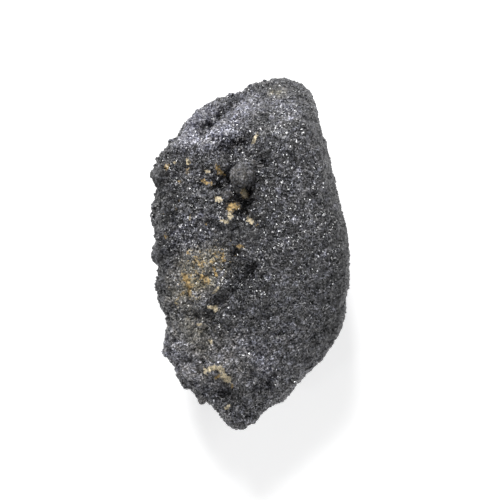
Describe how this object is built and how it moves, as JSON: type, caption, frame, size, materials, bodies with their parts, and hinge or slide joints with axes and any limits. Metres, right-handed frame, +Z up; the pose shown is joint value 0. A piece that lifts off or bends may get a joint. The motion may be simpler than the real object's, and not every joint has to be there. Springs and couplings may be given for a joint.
{
  "type": "rough diamond",
  "caption": "Rough black diamond: an elongated, lumpy, finely granular opaque stone with a blunt upper end and a tapered lower tip, lying on a small flat spot.",
  "frame": {"origin": "centre of the stone's box across and along, on the surface that it rests on", "axes": "+Z up from the resting surface, +Y along the stone to its blunt end, +X across it"},
  "size_m": [0.0052, 0.009, 0.004],
  "materials": {
    "diamond": "granular, dark grey with small bright glints, a few ochre and cream flecks"
  },
  "bodies": {
    "root": {"rough_diamond": "diamond"}
  },
  "joints": []
}
